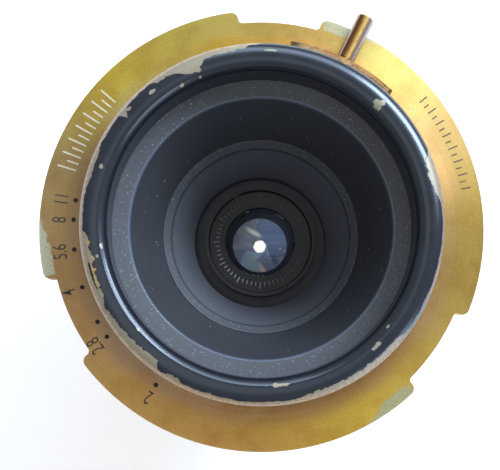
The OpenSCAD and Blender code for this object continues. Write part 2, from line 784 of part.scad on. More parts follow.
// What a blank loses in front of the face whose crown is at z
module glass_front(z, curve, r) {
    waste = 2 * r;
    if (curve > 0) difference() {
        translate([0, 0, z - dip(curve, r) - over])
            cylinder(r = r + over, h = dip(curve, r) + over + waste);
        translate([0, 0, z - curve]) sphere(r = curve, $fn = 180);
    }
    else if (curve < 0) {
        translate([0, 0, z - curve]) sphere(r = -curve, $fn = 180);
        translate([0, 0, z + dip(-curve, r)]) cylinder(r = r + over, h = waste);
    }
    else translate([0, 0, z]) cylinder(r = r + over, h = waste);
}

// What a blank loses behind the face whose crown is at z
module glass_back(z, curve, r) {
    mirror([0, 0, 1]) glass_front(-z, -curve, r);
}

module front_element() {
    color([0.7, 0.8, 0.9, 0.5])
        glass(glass_z, glass_curve, glass_z - front_t, 0, glass_r);
}

module front_spacer() {
    color("dimgray") ring_at(crown_z + seat, front_gap, glass_r, glass_r - spacer_wall);
}

module front_crown() {
    color([0.7, 0.8, 0.9, 0.5]) glass(crown_z, 0, flint_z + seat, -join_curve, glass_r);
}

module front_flint() {
    color([0.8, 0.8, 0.7, 0.5]) glass(flint_z, -join_curve, doublet_seat_z, 0, glass_r);
}

module rear_flint() {
    color([0.8, 0.8, 0.7, 0.5])
        glass(tail_seat_z - seat, 0, tail_seat_z - tail_flint_t, join_curve, tail_glass_r);
}

module rear_crown() {
    top_z = tail_seat_z - tail_flint_t - seat;
    color([0.7, 0.8, 0.9, 0.5]) glass(top_z, join_curve, top_z - tail_crown_t, 0, tail_glass_r);
}

module rear_spacer() {
    top_z = tail_seat_z - tail_flint_t - tail_crown_t - 2 * seat;
    color("dimgray") ring_at(top_z - tail_spacer_t, tail_spacer_t, tail_glass_r,
        tail_glass_r - spacer_wall);
}

module rear_element() {
    top_z = tail_seat_z - tail_flint_t - tail_crown_t - tail_spacer_t - 3 * seat;
    color([0.7, 0.8, 0.9, 0.5])
        glass(top_z, 0, top_z - tail_element_t, -tail_curve, tail_glass_r);
}

module rear_retaining_ring() {
    top_z = tail_seat_z - tail_flint_t - tail_crown_t - tail_spacer_t - tail_element_t
        + dip(tail_curve, tail_glass_r - tail_ring_w) - 4 * seat;
    color([0.12, 0.12, 0.12]) difference() {
        ring_at(top_z - tail_ring_t, tail_ring_t, tail_glass_r, tail_glass_r - tail_ring_w);
        for (side = [0, 180]) rotate([0, 0, side])
            translate([tail_glass_r - 1, -0.4, top_z - tail_ring_t - over])
            cube([2, 0.8, over + 0.5]);
    }
}

// Lock ring, which screws into the rear barrel and holds the block to the web
module lock_ring() {
    top_z = block_step_z - seat;
    color("dimgray") difference() {
        ring_at(top_z - lock_t, lock_t, rear_bore_r - seat, block_tail_r + 0.3);
        for (side = [0, 180]) rotate([0, 0, side])
            translate([(rear_bore_r + block_tail_r) / 2, 0, top_z - lock_t - over])
            cylinder(r = 0.8, h = over + 1, $fn = 24);
    }
}

flange();
flange_screws();
housing();
rear_barrel();
hood();
shade_front();
shade_rear();
aperture_ring();
aperture_pin();
friction_washer();
key_screws();
drive_sleeve();
cam_drive_screws();
iris_cam();
iris_blade_1();
iris_blade_2();
iris_blade_3();
iris_blade_4();
iris_blade_5();
iris_blade_6();
iris_base();
lens_block();
front_cell();
name_ring();
front_element();
front_spacer();
front_crown();
front_flint();
rear_flint();
rear_crown();
rear_spacer();
rear_element();
rear_retaining_ring();
lock_ring();
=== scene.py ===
import json
import math

import bmesh
import bpy
from mathutils import Matrix, Vector

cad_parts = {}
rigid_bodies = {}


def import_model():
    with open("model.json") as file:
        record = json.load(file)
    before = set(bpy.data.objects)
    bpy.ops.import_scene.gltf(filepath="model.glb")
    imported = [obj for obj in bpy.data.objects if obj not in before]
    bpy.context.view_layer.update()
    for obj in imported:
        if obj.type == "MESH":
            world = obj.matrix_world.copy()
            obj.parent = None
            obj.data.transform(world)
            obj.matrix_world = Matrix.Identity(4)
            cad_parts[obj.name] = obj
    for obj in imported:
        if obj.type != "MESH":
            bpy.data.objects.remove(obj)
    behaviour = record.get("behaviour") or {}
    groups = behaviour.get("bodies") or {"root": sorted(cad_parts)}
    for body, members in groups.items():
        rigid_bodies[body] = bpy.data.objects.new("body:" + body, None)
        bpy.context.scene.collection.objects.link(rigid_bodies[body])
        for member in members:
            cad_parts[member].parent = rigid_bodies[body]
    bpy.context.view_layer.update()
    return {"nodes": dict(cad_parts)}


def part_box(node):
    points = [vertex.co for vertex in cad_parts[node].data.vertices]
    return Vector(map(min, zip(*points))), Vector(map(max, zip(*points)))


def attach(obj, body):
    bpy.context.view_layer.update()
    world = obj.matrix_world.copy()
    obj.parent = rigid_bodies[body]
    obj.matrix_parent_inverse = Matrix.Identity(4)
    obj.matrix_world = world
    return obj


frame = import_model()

nodes = frame["nodes"]

MM = 0.001

# ---------------------------------------------------------------- sizes taken from the frame

FACE_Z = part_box("flange")[1].z
HOOD_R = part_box("hood")[1].x
FLOOR_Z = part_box("rear_barrel")[0].z
PIN_R = 0.5 * (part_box("aperture_pin")[1].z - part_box("aperture_pin")[0].z)

# Apertures that have a numeral on the flange, with the direction of their marks in degrees
STOP_MARKS = {"11": 171.6, "8": 177.57, "5.6": 186.73, "4": 198.53, "2.8": 215.38, "2": 236.3}
# The mark that has no numeral
PLAIN_MARK = 210.06
# Distance of the drilled marks from the axis, and their diameter
MARK_R = 40.2 * MM
MARK_D = 1.0 * MM
# Shape of the wax in a mark: its radius as a share of the hole's diameter, sides, height, width of
# its rim, and depth of the hollow in it
WAX_SHARE = 0.49
WAX_SIDES = 24
WAX_H = 0.2 * MM
WAX_RIM = 0.2 * MARK_D
WAX_HOLLOW = 0.05 * MM
# Distance of the numerals from the axis, their height, and how much narrower than the font they are
NUMERAL_R = 43.15 * MM
NUMERAL_H = 2.6 * MM
NUMERAL_NARROW = 0.66
# How far a numeral stands ahead of its mark in degrees, and how much thicker its strokes are
NUMERAL_LEAD = 0.2
NUMERAL_BOLD = 0.015 * MM
# Share of the font's size that a numeral's height takes up
CAP_SHARE = 0.62
# Straight stretches in each curve of a numeral
CURVE_STEPS = 6
# Half the thickness of the fillings that stand for engraved strokes
INK_T = 0.02 * MM

# Rows of plain graduations: first and last direction in degrees, count, middle radius, height, width
PALE_ROW = (139.2, 162.8, 13, 43.7 * MM, 4.2 * MM, 0.36 * MM)
DARK_ROW = (11.0, 38.5, 15, 44.7 * MM, 2.1 * MM, 0.28 * MM)
RING_ROW = (0.0, 354.0, 60, 10.45 * MM, 1.5 * MM, 0.2 * MM)
# Height of a short stroke as a share of a tall one, and a stroke's rounding as a share of its width
SHORT_STROKE = 0.62
STROKE_ROUND = 0.3
# Height of the name ring's engraved face
RING_FACE_Z = -23.0 * MM

# Radii and heights of the baffles, in millimetres, for their finish
LEDGE_IN_R = 28.35
LEDGE_Z = 3.5
STEP_TOP_Z = -11.0
STEP_FOOT_Z = -12.8

# ---------------------------------------------------------------- small tools


def deselect():
    """Leaves no object selected."""
    for item in bpy.context.scene.objects:
        item.select_set(False)


def only(obj):
    """Leaves this object alone selected and active."""
    deselect()
    obj.select_set(True)
    bpy.context.view_layer.objects.active = obj


def settle(obj):
    """Moves the object's place into its mesh, so that the object sits at the origin."""
    only(obj)
    bpy.ops.object.transform_apply(location=True, rotation=True, scale=True)


def join(objs, name):
    """Makes one object of that name out of several."""
    deselect()
    for item in objs:
        item.select_set(True)
    bpy.context.view_layer.objects.active = objs[0]
    bpy.ops.object.join()
    objs[0].name = name
    return objs[0]


def dress(obj, material):
    """Gives every slot of the piece this finish."""
    if not obj.material_slots:
        obj.data.materials.append(material)
    for place in obj.material_slots:
        place.material = material


def feed(tree, socket, value):
    """Links a socket to another one, or gives it a plain value."""
    if isinstance(value, bpy.types.NodeSocket):
        tree.links.new(value, socket)
    else:
        socket.default_value = value


def add(tree, kind, settings=None, **inputs):
    """A node of that kind. Its inputs are named with _ for a space."""
    node = tree.nodes.new("ShaderNode" + kind)
    for name, value in (settings or {}).items():
        setattr(node, name, value)
    for name, value in inputs.items():
        feed(tree, node.inputs[name.replace("_", " ")], value)
    return node


def calc(tree, operation, *values, clamp=False):
    """One step of arithmetic on plain values. With clamp its result stays between 0 and 1."""
    node = tree.nodes.new("ShaderNodeMath")
    node.operation = operation
    node.use_clamp = clamp
    for socket, value in zip(node.inputs, values):
        feed(tree, socket, value)
    return node.outputs[0]


def times(tree, first, second):
    """The first value times the second."""
    return calc(tree, "MULTIPLY", first, second)


def plus(tree, first, second):
    """The first value plus the second."""
    return calc(tree, "ADD", first, second)


def minus(tree, first, second):
    """The first value minus the second."""
    return calc(tree, "SUBTRACT", first, second)


def sway(tree, noise, width):
    """A noise from 0 to 1 made into a shift to both sides, at most half the width."""
    return times(tree, minus(tree, noise, 0.5), width)


def between(tree, value, low, high):
    """0 below low, 1 above high, and a smooth step between them."""
    smooth = {"interpolation_type": "SMOOTHSTEP"}
    return add(tree, "MapRange", smooth, Value=value, From_Min=low, From_Max=high).outputs["Result"]


def fading(tree, value, low, high):
    """1 below low, 0 above high, and a smooth step between them."""
    return minus(tree, 1.0, between(tree, value, low, high))


def tint(tree, share, first, second, blend="MIX"):
    """Two colours mixed by the share of the second."""
    node = add(tree, "Mix", {"data_type": "RGBA", "blend_type": blend})
    feed(tree, node.inputs[0], share)
    feed(tree, node.inputs[6], first)
    feed(tree, node.inputs[7], second)
    return node.outputs[2]


def spread(tree, share, low, high):
    """A plain value from low to high."""
    return add(tree, "MapRange", Value=share, To_Min=low, To_Max=high).outputs["Result"]


def steps(tree, share, stops):
    """A colour ramp with (place, grey or colour) stops."""
    node = add(tree, "ValToRGB")
    elements = node.color_ramp.elements
    while len(elements) < len(stops):
        elements.new(0.5)
    for element, (place, tone) in zip(elements, stops):
        colour = tone if isinstance(tone, tuple) else (tone, tone, tone)
        element.position = place
        element.color = (*colour, 1)
    feed(tree, node.inputs["Fac"], share)
    return node.outputs["Color"]


def by_direction(tree, turn, stops):
    """A colour ramp round the axis, with stops in degrees."""
    return steps(tree, turn, [(degrees / 360, tone) for degrees, tone in stops])


def group(name, inputs, outputs):
    """An empty node group with its input and output nodes."""
    tree = bpy.data.node_groups.new(name, "ShaderNodeTree")
    for label, kind, value in inputs:
        socket = tree.interface.new_socket(label, in_out="INPUT", socket_type=kind)
        socket.default_value = value
    for label, kind in outputs:
        tree.interface.new_socket(label, in_out="OUTPUT", socket_type=kind)
    return tree, tree.nodes.new("NodeGroupInput").outputs, tree.nodes.new("NodeGroupOutput").inputs


def use(tree, made, **inputs):
    """Places a node group in a tree."""
    node = tree.nodes.new("ShaderNodeGroup")
    node.node_tree = made
    for name, value in inputs.items():
        feed(tree, node.inputs[name.replace("_", " ")], value)
    return node.outputs


def finish_named(name, **constants):
    """A new material with a Principled shader, whose inputs get these plain values."""
    material = bpy.data.materials.new(name)
    material.use_nodes = True
    tree = material.node_tree
    shader = tree.nodes["Principled BSDF"]
    for key, value in constants.items():
        shader.inputs[key.replace("_", " ")].default_value = value
    return material, tree, shader


def coat(tree, shader, colour, rough, height, depth):
    """Gives the shader its colour and roughness, and a relief of that depth in metres."""
    relief = add(tree, "Bump", Height=height, Distance=depth)
    feed(tree, shader.inputs["Base Color"], colour)
    feed(tree, shader.inputs["Roughness"], rough)
    feed(tree, shader.inputs["Normal"], relief.outputs[0])


# ---------------------------------------------------------------- effects shared by the finishes

FLOAT = "NodeSocketFloat"


def make_lathe_marks():
    """Fine rings left by a lathe round the axis.

    It also gives the radius and height in millimetres, and the turn round the axis from 0 to 1.
    """
    tree, given, made = group(
        "lathe_marks",
        [("Per millimetre", FLOAT, 4.0), ("Waver", FLOAT, 0.8)],
        [("Marks", FLOAT), ("Broad", FLOAT), ("Radius", FLOAT), ("Height", FLOAT), ("Turn", FLOAT)],
    )
    place = add(tree, "TexCoord").outputs["Object"]
    apart = add(tree, "SeparateXYZ", Vector=place).outputs
    flat = add(tree, "CombineXYZ", X=apart["X"], Y=apart["Y"]).outputs[0]
    length = add(tree, "VectorMath", {"operation": "LENGTH"}, Vector=flat)
    radius = calc(tree, "DIVIDE", length.outputs["Value"], MM)
    height = calc(tree, "DIVIDE", apart["Z"], MM)
    way = add(tree, "VectorMath", {"operation": "NORMALIZE"}, Vector=flat).outputs[0]
    bent = add(tree, "VectorMath", {"operation": "SCALE"}, Vector=way, Scale=given["Waver"])
    sides = add(tree, "SeparateXYZ", Vector=bent.outputs[0]).outputs
    along = plus(tree, radius, height)
    for label, pace, detail in (("Marks", 1.0, 3.0), ("Broad", 0.22, 1.0)):
        rings = times(tree, times(tree, along, given["Per millimetre"]), pace)
        point = add(tree, "CombineXYZ", X=rings, Y=sides["X"], Z=sides["Y"]).outputs[0]
        grain = add(tree, "TexNoise", Vector=point, Scale=1.0, Detail=detail, Roughness=0.6)
        feed(tree, made[label], grain.outputs["Fac"])
    feed(tree, made["Radius"], radius)
    feed(tree, made["Height"], height)
    angle = calc(tree, "ARCTAN2", apart["Y"], apart["X"])
    turn = calc(tree, "DIVIDE", angle, 2 * math.pi)
    feed(tree, made["Turn"], calc(tree, "FRACT", plus(tree, turn, 1.0)))
    return tree


def make_blotches():
    """Soft clouds of tarnish or handling, and a finer mottling."""
    tree, given, made = group(
        "blotches",
        [("Size mm", FLOAT, 6.0), ("Seed", FLOAT, 0.0)],
        [("Clouds", FLOAT), ("Mottle", FLOAT)],
    )
    place = add(tree, "TexCoord").outputs["Object"]
    shift = add(tree, "CombineXYZ", X=given["Seed"], Y=given["Seed"], Z=given["Seed"]).outputs[0]
    moved = add(tree, "VectorMath", {"operation": "ADD"}, Vector=place)
    feed(tree, moved.inputs[1], shift)
    pace = calc(tree, "DIVIDE", 1 / MM, given["Size mm"])
    clouds = add(tree, "TexNoise", Vector=moved.outputs[0], Scale=pace, Detail=3.0, Roughness=0.55)
    fine = times(tree, pace, 7.0)
    mottle = add(tree, "TexNoise", Vector=moved.outputs[0], Scale=fine, Detail=4.0, Roughness=0.65)
    feed(tree, made["Clouds"], clouds.outputs["Fac"])
    feed(tree, made["Mottle"], mottle.outputs["Fac"])
    return tree


def make_dust():
    """Specks of dust: 1 on a speck. Amount is the share of cells that hold one."""
    tree, given, made = group(
        "dust",
        [("Size mm", FLOAT, 0.12), ("Spacing mm", FLOAT, 1.6), ("Amount", FLOAT, 0.3)],
        [("Specks", FLOAT)],
    )
    place = add(tree, "TexCoord").outputs["Object"]
    pace = calc(tree, "DIVIDE", 1 / MM, given["Spacing mm"])
    cells = add(tree, "TexVoronoi", {"feature": "F1"}, Vector=place, Scale=pace)
    reach = calc(tree, "DIVIDE", given["Size mm"], given["Spacing mm"])
    pick = add(tree, "SeparateColor", Color=cells.outputs["Color"]).outputs
    grown = times(tree, reach, spread(tree, pick["Green"], 0.4, 1.5))
    speck = calc(tree, "LESS_THAN", cells.outputs["Distance"], grown)
    kept = calc(tree, "LESS_THAN", pick["Red"], given["Amount"])
    feed(tree, made["Specks"], times(tree, speck, kept))
    return tree


def make_chip():
    """A ragged chip in the paint: 1 inside.

    At is its direction from 0 to 1, and Out its distance from the axis. Long and Wide are its whole
    length and width, so the distances from its middle are doubled.
    """
    tree, given, made = group(
        "chip",
        [("Turn", FLOAT, 0.0), ("Radius", FLOAT, 0.0), ("Ragged", FLOAT, 0.5), ("At", FLOAT, 0.0),
         ("Out mm", FLOAT, 34.0), ("Long mm", FLOAT, 1.0), ("Wide mm", FLOAT, 1.0)],
        [("Inside", FLOAT)],
    )
    off = minus(tree, given["Turn"], given["At"])
    run = times(tree, times(tree, off, 2 * 2 * math.pi), given["Out mm"])
    across = times(tree, minus(tree, given["Radius"], given["Out mm"]), 2.0)
    long = calc(tree, "DIVIDE", run, given["Long mm"])
    wide = calc(tree, "DIVIDE", across, given["Wide mm"])
    shape = add(tree, "CombineXYZ", X=long, Y=wide).outputs[0]
    size = add(tree, "VectorMath", {"operation": "LENGTH"}, Vector=shape)
    reach = plus(tree, size.outputs["Value"], sway(tree, given["Ragged"], 2.6))
    feed(tree, made["Inside"], fading(tree, reach, 0.9, 1.05))
    return tree


lathe_marks = make_lathe_marks()
blotches = make_blotches()
dust = make_dust()
chip = make_chip()

# ---------------------------------------------------------------- finishes

# Depth of the faint relief that most finishes have
FAINT = 0.01 * MM
# Tone of the brass by the direction in degrees, out on the flange and close to the hood: tarnish with
# painted highlights where the lamps reflect and painted shade away from them, and close to the hood
# painted shade from the hood as well
OUTER_TONES_PAINTED_LIGHT = (
    (0, (0.59, 0.40, 0.10)), (30, (0.65, 0.44, 0.17)), (50, (0.84, 0.73, 0.23)),
    (75, (0.69, 0.46, 0.14)), (105, (0.71, 0.57, 0.15)), (135, (0.97, 0.76, 0.13)),
    (160, (0.58, 0.43, 0.19)), (195, (0.58, 0.39, 0.19)), (230, (0.68, 0.42, 0.14)),
    (265, (0.73, 0.43, 0.12)), (300, (0.97, 0.68, 0.12)), (330, (0.85, 0.61, 0.17)),
    (360, (0.59, 0.40, 0.10)),
)
INNER_TONES_PAINTED_LIGHT = (
    (0, (0.65, 0.44, 0.16)), (30, (0.97, 0.57, 0.25)), (50, (0.97, 0.62, 0.19)),
    (75, (0.90, 0.49, 0.12)), (105, (0.76, 0.47, 0.07)), (135, (0.92, 0.78, 0.29)),
    (160, (0.47, 0.33, 0.17)), (195, (0.45, 0.31, 0.19)), (230, (0.50, 0.34, 0.21)),
    (265, (0.60, 0.37, 0.16)), (300, (0.59, 0.35, 0.14)), (330, (0.81, 0.53, 0.23)),
    (360, (0.65, 0.44, 0.16)),
)
# Between these radii in millimetres the inner tones, with their painted shade from the hood, give way to
# the outer ones
INNER_TO_R = 39.0
OUTER_FROM_R = 43.5
# Direction in degrees at which one of the three notches begins
NOTCH_START = 75
# A worn arc ends at the start of each notch. In thirds of a turn: its thin start, where it is full,
# and its end
WORN_START = 0.85
WORN_FULL = 0.92
WORN_END = 0.985
# Radius in millimetres from which the brass is worn, at the thin start and where it is full
WORN_THIN_R = 46.7
WORN_FULL_R = 45.2
# Tone of the worn brass by the share of a turn
WORN_TONES = (
    (0.20, (0.60, 0.58, 0.40)), (0.45, (0.82, 0.86, 0.66)), (0.55, (0.78, 0.80, 0.60)),
    (0.85, (0.68, 0.66, 0.40)),
)


def flange_brass():
    """Old faced brass: brown to golden tarnish with painted highlights and painted shade by direction,
    and pale worn arcs where the camera's claws rub.
    """
    material, tree, shader = finish_named(
        "flange_brass", Metallic=1.0, Anisotropic=0.6, Anisotropic_Rotation=0.25
    )
    rings = use(tree, lathe_marks, Per_millimetre=5.0, Waver=1.2)
    patina = use(tree, blotches, Size_mm=9.0)
    drops = use(tree, blotches, Size_mm=3.5, Seed=0.7)
    # Tarnish tones round the axis, with painted highlights towards the lamps and painted shade away from
    # them
    outer = by_direction(tree, rings["Turn"], OUTER_TONES_PAINTED_LIGHT)
    inner = by_direction(tree, rings["Turn"], INNER_TONES_PAINTED_LIGHT)
    drifted = plus(tree, rings["Radius"], sway(tree, patina["Clouds"], 6.0))
    tone = tint(tree, between(tree, drifted, INNER_TO_R, OUTER_FROM_R), inner, outer)
    for noise, low, high, most, shade in (
        (patina["Clouds"], 0.40, 0.62, 0.5, (0.78, 0.68, 0.60, 1)),
        (drops["Mottle"], 0.42, 0.6, 0.35, (0.80, 0.72, 0.62, 1)),
        (rings["Marks"], 0.35, 0.65, 0.14, (0.75, 0.60, 0.40, 1)),
    ):
        share = spread(tree, between(tree, noise, low, high), 0.0, most)
        tone = tint(tree, share, tone, shade, "MULTIPLY")
    third = calc(tree, "FRACT", minus(tree, times(tree, rings["Turn"], 3.0), 3 * NOTCH_START / 360))
    along = plus(tree, third, sway(tree, drops["Clouds"], 0.04))
    start = between(tree, along, WORN_START, WORN_START + 0.02)
    grown = between(tree, along, WORN_START + 0.02, WORN_FULL)
    worn_from = spread(tree, grown, WORN_THIN_R, WORN_FULL_R)
    edge = plus(tree, rings["Radius"], sway(tree, drops["Clouds"], 1.8))
    rim = between(tree, minus(tree, edge, worn_from), -0.25, 0.25)
    stop = fading(tree, third, WORN_END - 0.006, WORN_END)
    worn = times(tree, times(tree, start, rim), stop)
    claw = steps(tree, rings["Turn"], WORN_TONES)
    dull = between(tree, drops["Mottle"], 0.38, 0.62)
    pale = tint(tree, dull, claw, (0.82, 0.83, 0.78, 1), "MULTIPLY")
    coloured = tint(tree, times(tree, worn, 0.9), tone, pale)
    flecks = use(tree, dust, Size_mm=0.16, Spacing_mm=4.5, Amount=0.35)
    spotted = tint(tree, times(tree, flecks["Specks"], 0.45), coloured, (0.85, 0.80, 0.55, 1))
    rough = plus(tree, spread(tree, rings["Broad"], 0.36, 0.48), times(tree, worn, 0.12))
    grain = add(tree, "Tangent", {"direction_type": "RADIAL", "axis": "Z"})
    feed(tree, shader.inputs["Tangent"], grain.outputs[0])
    coat(tree, shader, spotted, rough, rings["Marks"], 0.006 * MM)
    return material


# How far the bare metal reaches in from the hood's rim, in millimetres, by the direction in degrees
UPPER_WEAR = (
    (0, 0.5), (6, 0.7), (9, 1.5), (12, 2.0), (20, 2.0), (22.5, 0.7), (24, 0.0), (89, 0.0), (92, 0.6),
    (95, 0.8), (96, 1.6), (109.5, 1.75), (111, 3.3), (112, 3.95), (115, 4.0), (117.5, 3.2),
    (119.5, 2.2), (121, 1.75), (127, 1.6), (128.5, 0.75), (139, 0.85), (140.6, 1.4), (141.2, 2.9),
    (143, 2.9), (143.4, 0.8), (155, 0.8), (157, 1.3), (167, 1.3), (169, 0.85), (180, 0.85),
)
LOWER_WEAR = (
    (180, 0.85), (183, 0.9), (184.5, 1.7), (187, 2.1), (192, 2.2), (192.8, 2.5), (195, 2.15),
    (198.5, 2.4), (201, 2.15), (205, 2.05), (209, 1.1), (211, 1.5), (215, 1.75), (220, 2.0),
    (226, 2.2), (233.5, 2.4), (234.6, 0.75), (237.5, 0.75), (238.3, 1.5), (242, 1.5), (243, 0.85),
    (251, 0.85), (253, 1.2), (255, 0.9), (283, 1.0), (286, 1.45), (321, 1.35), (323, 0.7),
    (334, 0.75), (335, 0.8), (339, 0.7), (360, 0.5),
)
# More than any of these, so that each is a share of it
MOST_WEAR = 4.5
# How ragged the edge of the enamel is, and half the width over which it fades, in millimetres
RAGGED = 4.5
EDGE_FADE = 0.09
# Thickness of the enamel
ENAMEL_T = 0.04 * MM
# Height in millimetres down to which the hood's outer wall is rubbed bare, and how softly it ends
WALL_WORN_Z = 10.6
WALL_FADE = 0.1
# The clean metal of the rim begins between these distances in from the rim, in millimetres
CLEAN_FROM = 1.15
CLEAN_TO = 0.75
# Tone of the bare metal along the rim, by the direction in degrees: its own pale metal with painted
# reflections, cream where they stand for the bright surroundings and bluish where they stand for the
# window
RIM_TONES_PAINTED_REFLECTION = (
    (0, (0.28, 0.19, 0.12)), (14, (0.34, 0.28, 0.20)), (90, (0.56, 0.48, 0.32)),
    (110, (0.52, 0.42, 0.27)), (135, (0.60, 0.46, 0.36)), (175, (0.62, 0.50, 0.42)),
    (200, (0.62, 0.50, 0.37)), (225, (0.64, 0.52, 0.37)), (255, (0.68, 0.48, 0.30)),
    (290, (0.60, 0.48, 0.36)), (318, (0.50, 0.42, 0.33)), (325, (0.20, 0.25, 0.31)),
    (340, (0.36, 0.30, 0.25)), (360, (0.28, 0.19, 0.12)),
)
# Chips away from the rim: direction in degrees, then millimetres from the axis, along and across
CHIPS = (
    (45.3, 34.3, 2.1, 2.3), (87.0, 35.7, 3.0, 0.4), (112.8, 32.7, 0.9, 0.6), (120.3, 32.8, 1.0, 0.7),
    (129.8, 35.1, 1.6, 1.0), (139.6, 36.0, 1.1, 0.8), (161.0, 34.9, 1.1, 0.9), (188.6, 33.2, 1.2, 0.7),
    (192.1, 34.3, 0.8, 0.6), (221.5, 33.4, 1.2, 0.5), (275.5, 33.4, 4.3, 0.8), (312.4, 34.3, 1.6, 0.8),
    (320.0, 33.3, 0.8, 0.4),
)
# An island of paint left inside the longest chip
ISLAND = (197.2, 36.3, 6.6, 0.45)
# The rust in that chip fades in and out between these directions, this far in from the rim
RUST_IN = (182, 184)
RUST_OUT = (198, 204)
RUST_WIDE = 3.0


def hood_enamel():
    """Black stove enamel on pale metal, worn through along the rim and chipped; the bare rim carries
    painted reflections.
    """
    material, tree, shader = finish_named(
        "hood_enamel", Specular_IOR_Level=0.9, Specular_Tint=(0.78, 0.88, 1.0, 1)
    )
    rings = use(tree, lathe_marks, Per_millimetre=1.4, Waver=2.5)
    grime = use(tree, blotches, Size_mm=5.0, Seed=2.0)
    flakes = use(tree, blotches, Size_mm=5.0, Seed=0.4)
    lumps = use(tree, blotches, Size_mm=1.5, Seed=0.4)
    rim = HOOD_R / MM
    turn = rings["Turn"]
    upper = by_direction(tree, turn, [(degrees, mm / MOST_WEAR) for degrees, mm in UPPER_WEAR])
    lower = by_direction(tree, turn, [(degrees, mm / MOST_WEAR) for degrees, mm in LOWER_WEAR])
    reach = tint(tree, calc(tree, "GREATER_THAN", turn, 0.5), upper, lower)
    inner = minus(tree, rim, times(tree, reach, MOST_WEAR))
    ragged = sway(tree, lumps["Clouds"], RAGGED)
    measured = plus(tree, rings["Radius"], times(tree, ragged, reach))
    bare = between(tree, minus(tree, measured, inner), -EDGE_FADE, EDGE_FADE)
    rubbed_down = plus(tree, rings["Height"], times(tree, ragged, 1.2))
    above = between(tree, rubbed_down, WALL_WORN_Z - WALL_FADE, WALL_WORN_Z + WALL_FADE)
    bare = times(tree, bare, above)
    for spot in (ISLAND, *CHIPS):
        degrees, out, along, across = spot
        made = use(tree, chip, Turn=turn, Radius=rings["Radius"], Ragged=lumps["Clouds"],
                   At=degrees / 360, Out_mm=out, Long_mm=along, Wide_mm=across)["Inside"]
        if spot is ISLAND:
            bare = calc(tree, "SUBTRACT", bare, made, clamp=True)
        else:
            bare = calc(tree, "MAXIMUM", bare, made)
    paint = tint(tree, grime["Clouds"], (0.009, 0.010, 0.015, 1), (0.022, 0.026, 0.036, 1))
    specks = use(tree, dust, Size_mm=0.10, Spacing_mm=1.9, Amount=0.15)
    paint = tint(tree, times(tree, specks["Specks"], 0.4), paint, (0.4, 0.4, 0.4, 1))
    chipped = tint(tree, grime["Mottle"], (0.20, 0.19, 0.13, 1), (0.34, 0.32, 0.24, 1))
    # Bare rim metal with painted reflections round the axis
    rubbed = by_direction(tree, turn, RIM_TONES_PAINTED_REFLECTION)
    rust_in = between(tree, turn, RUST_IN[0] / 360, RUST_IN[1] / 360)
    rust_out = fading(tree, turn, RUST_OUT[0] / 360, RUST_OUT[1] / 360)
    near_rim = calc(tree, "GREATER_THAN", rings["Radius"], rim - RUST_WIDE)
    longest = times(tree, times(tree, rust_in, rust_out), near_rim)
    rusty = times(tree, longest, between(tree, flakes["Clouds"], 0.34, 0.50))
    orange = tint(tree, rusty, tint(tree, 0.35, chipped, rubbed), (0.62, 0.42, 0.14, 1))
    dull = between(tree, grime["Mottle"], 0.4, 0.62)
    stained = tint(tree, dull, rubbed, (0.78, 0.72, 0.66, 1), "MULTIPLY")
    clean = between(tree, rings["Radius"], rim - CLEAN_FROM, rim - CLEAN_TO)
    metal = tint(tree, clean, orange, stained)
    feed(tree, shader.inputs["Metallic"], times(tree, bare, 0.4))
    rough = calc(tree, "MAXIMUM", spread(tree, grime["Clouds"], 0.16, 0.26), times(tree, bare, 0.45))
    step = minus(tree, times(tree, rings["Marks"], 0.05), bare)
    coat(tree, shader, tint(tree, bare, paint, metal), rough, step, ENAMEL_T)
    return material


def shade_black():
    """Satin black of the baffles: fine turned rings, a painted highlight along the ledge's inner edge,
    and dust.

    Most of the dust lies on the ledge and the step, and the lower cone is painted lighter than the upper
    one, as painted light deep in the baffle.
    """
    material, tree, shader = finish_named("shade_black")
    rings = use(tree, lathe_marks, Per_millimetre=2.2, Waver=0.6)
    haze = use(tree, blotches, Size_mm=7.0, Seed=5.0)
    base = tint(tree, haze["Clouds"], (0.029, 0.031, 0.037, 1), (0.045, 0.049, 0.059, 1))
    lined = tint(tree, times(tree, rings["Marks"], 0.4), base, (0.08, 0.086, 0.10, 1))
    height = rings["Height"]
    ledge = between(tree, height, LEDGE_Z, LEDGE_Z + 0.4)
    step_from = between(tree, height, STEP_FOOT_Z - 0.2, STEP_FOOT_Z)
    step = times(tree, step_from, fading(tree, height, STEP_TOP_Z - 0.1, STEP_TOP_Z + 0.1))
    # Painted light: the lower cone is made greyer, lighter than the upper one
    deep = fading(tree, height, STEP_FOOT_Z - 1.2, STEP_FOOT_Z - 0.2)
    lower_cone_painted_light = tint(tree, times(tree, deep, 0.75), lined, (0.15, 0.16, 0.19, 1))
    flat = calc(tree, "MAXIMUM", ledge, step)
    film = times(tree, flat, spread(tree, haze["Mottle"], 0.3, 0.7))
    filmed = tint(tree, film, lower_cone_painted_light, (0.12, 0.13, 0.15, 1))
    specks = use(tree, dust, Size_mm=0.13, Spacing_mm=1.7, Amount=0.4)
    powder = use(tree, dust, Size_mm=0.10, Spacing_mm=0.5, Amount=0.55)
    settled = times(tree, powder["Specks"], spread(tree, flat, 0.12, 0.75))
    lit = tint(tree, settled, filmed, (0.30, 0.31, 0.34, 1))
    dusty = tint(tree, times(tree, specks["Specks"], 0.6), lit, (0.6, 0.6, 0.62, 1))
    # A bluish painted highlight along the ledge's inner edge, where the surface is also smoother
    apart = calc(tree, "ABSOLUTE", minus(tree, rings["Radius"], LEDGE_IN_R))
    edge = fading(tree, apart, 0.12, 0.35)
    edge_painted_highlight = tint(tree, times(tree, edge, 0.6), dusty, (0.17, 0.21, 0.29, 1))
    rough = minus(tree, spread(tree, haze["Mottle"], 0.40, 0.56), times(tree, edge, 0.25))
    coat(tree, shader, edge_painted_highlight, rough, rings["Marks"], 0.012 * MM)
    return material


# The raised part of the aperture ring, from and to in degrees
BOSS_FROM = 45.9
BOSS_TO = 81.0


